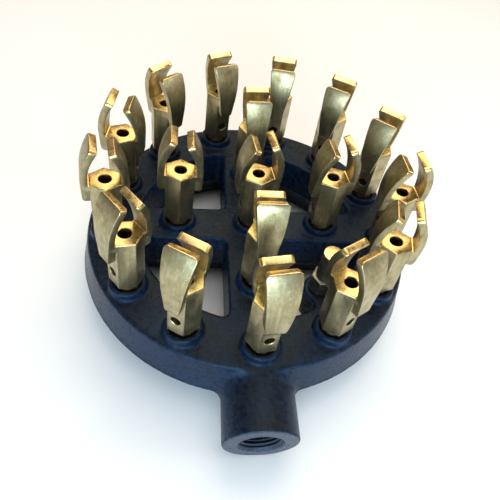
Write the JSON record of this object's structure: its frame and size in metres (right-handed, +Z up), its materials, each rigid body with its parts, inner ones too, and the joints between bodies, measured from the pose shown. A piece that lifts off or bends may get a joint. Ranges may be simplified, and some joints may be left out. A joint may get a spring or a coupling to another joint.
{
  "type": "multi-jet gas burner",
  "caption": "Round cast-iron gas burner with a cross of spokes, a threaded side inlet and upright brass slot jets screwed into raised bosses, for a wok or stock-pot range.",
  "frame": {"origin": "centre of the ring on the flat underside of the casting", "axes": "+Z up along the axis of the ring; -Y out of the threaded gas inlet; +X to the right when the inlet faces the viewer"},
  "size_m": [0.2026, 0.227, 0.1099],
  "materials": {
    "cast_iron": "semi-gloss black over a fine cast grain",
    "jet_brass": "extruded brass with fine lengthwise lines and bright sawn ends",
    "pilot_brass": "dull turned brass with a bright flat end"
  },
  "bodies": {
    "casting": {"manifold_casting": "cast_iron", "pilot_fitting": "pilot_brass", "pilot_stub": "pilot_brass"},
    "outer_jet_01": {"outer_jet_01": "jet_brass"},
    "outer_jet_02": {"outer_jet_02": "jet_brass"},
    "outer_jet_03": {"outer_jet_03": "jet_brass"},
    "outer_jet_04": {"outer_jet_04": "jet_brass"},
    "outer_jet_05": {"outer_jet_05": "jet_brass"},
    "outer_jet_06": {"outer_jet_06": "jet_brass"},
    "outer_jet_07": {"outer_jet_07": "jet_brass"},
    "outer_jet_08": {"outer_jet_08": "jet_brass"},
    "outer_jet_09": {"outer_jet_09": "jet_brass"},
    "outer_jet_10": {"outer_jet_10": "jet_brass"},
    "outer_jet_11": {"outer_jet_11": "jet_brass"},
    "outer_jet_12": {"outer_jet_12": "jet_brass"},
    "outer_jet_13": {"outer_jet_13": "jet_brass"},
    "inner_jet_front": {"inner_jet_front": "jet_brass"},
    "inner_jet_right": {"inner_jet_right": "jet_brass"},
    "inner_jet_back": {"inner_jet_back": "jet_brass"},
    "inner_jet_left": {"inner_jet_left": "jet_brass"},
    "centre_jet": {"centre_jet": "jet_brass"}
  },
  "joints": [
    {"name": "outer_jet_01_turn", "type": "hinge", "parent": "casting", "child": "outer_jet_01", "pos_m": [0, -0.084, 0.049], "axis": [0, 0.0593, 0.9982], "range_deg": [-30, 30]},
    {"name": "outer_jet_02_turn", "type": "hinge", "parent": "casting", "child": "outer_jet_02", "pos_m": [0.03904, -0.07438, 0.049], "axis": [-0.0276, 0.0525, 0.9982], "range_deg": [-30, 30]},
    {"name": "outer_jet_03_turn", "type": "hinge", "parent": "casting", "child": "outer_jet_03", "pos_m": [0.06913, -0.04772, 0.049], "axis": [-0.0488, 0.0337, 0.9982], "range_deg": [-30, 30]},
    {"name": "outer_jet_04_turn", "type": "hinge", "parent": "casting", "child": "outer_jet_04", "pos_m": [0.08339, -0.01013, 0.049], "axis": [-0.0589, 0.0071, 0.9982], "range_deg": [-30, 30]},
    {"name": "outer_jet_05_turn", "type": "hinge", "parent": "casting", "child": "outer_jet_05", "pos_m": [0.07854, 0.02979, 0.049], "axis": [-0.0555, -0.021, 0.9982], "range_deg": [-30, 30]},
    {"name": "outer_jet_06_turn", "type": "hinge", "parent": "casting", "child": "outer_jet_06", "pos_m": [0.0557, 0.06288, 0.049], "axis": [-0.0393, -0.0444, 0.9982], "range_deg": [-30, 30]},
    {"name": "outer_jet_07_turn", "type": "hinge", "parent": "casting", "child": "outer_jet_07", "pos_m": [0.0201, 0.08156, 0.049], "axis": [-0.0142, -0.0576, 0.9982], "range_deg": [-30, 30]},
    {"name": "outer_jet_08_turn", "type": "hinge", "parent": "casting", "child": "outer_jet_08", "pos_m": [-0.0201, 0.08156, 0.049], "axis": [0.0142, -0.0576, 0.9982], "range_deg": [-30, 30]},
    {"name": "outer_jet_09_turn", "type": "hinge", "parent": "casting", "child": "outer_jet_09", "pos_m": [-0.0557, 0.06288, 0.049], "axis": [0.0393, -0.0444, 0.9982], "range_deg": [-30, 30]},
    {"name": "outer_jet_10_turn", "type": "hinge", "parent": "casting", "child": "outer_jet_10", "pos_m": [-0.07854, 0.02979, 0.049], "axis": [0.0555, -0.021, 0.9982], "range_deg": [-30, 30]},
    {"name": "outer_jet_11_turn", "type": "hinge", "parent": "casting", "child": "outer_jet_11", "pos_m": [-0.08339, -0.01013, 0.049], "axis": [0.0589, 0.0071, 0.9982], "range_deg": [-30, 30]},
    {"name": "outer_jet_12_turn", "type": "hinge", "parent": "casting", "child": "outer_jet_12", "pos_m": [-0.06913, -0.04772, 0.049], "axis": [0.0488, 0.0337, 0.9982], "range_deg": [-30, 30]},
    {"name": "outer_jet_13_turn", "type": "hinge", "parent": "casting", "child": "outer_jet_13", "pos_m": [-0.03904, -0.07438, 0.049], "axis": [0.0276, 0.0525, 0.9982], "range_deg": [-30, 30]},
    {"name": "inner_jet_front_turn", "type": "hinge", "parent": "casting", "child": "inner_jet_front", "pos_m": [0, -0.0444, 0.049], "axis": [0, 0.0436, 0.999], "range_deg": [-30, 30]},
    {"name": "inner_jet_right_turn", "type": "hinge", "parent": "casting", "child": "inner_jet_right", "pos_m": [0.0444, 0, 0.049], "axis": [-0.0436, 0, 0.999], "range_deg": [-30, 30]},
    {"name": "inner_jet_back_turn", "type": "hinge", "parent": "casting", "child": "inner_jet_back", "pos_m": [0, 0.0444, 0.049], "axis": [0, -0.0436, 0.999], "range_deg": [-30, 30]},
    {"name": "inner_jet_left_turn", "type": "hinge", "parent": "casting", "child": "inner_jet_left", "pos_m": [-0.0444, 0, 0.049], "axis": [0.0436, 0, 0.999], "range_deg": [-30, 30]},
    {"name": "centre_jet_turn", "type": "hinge", "parent": "casting", "child": "centre_jet", "pos_m": [0, 0, 0.049], "axis": [0, 0, 1], "range_deg": [-30, 30]}
  ]
}
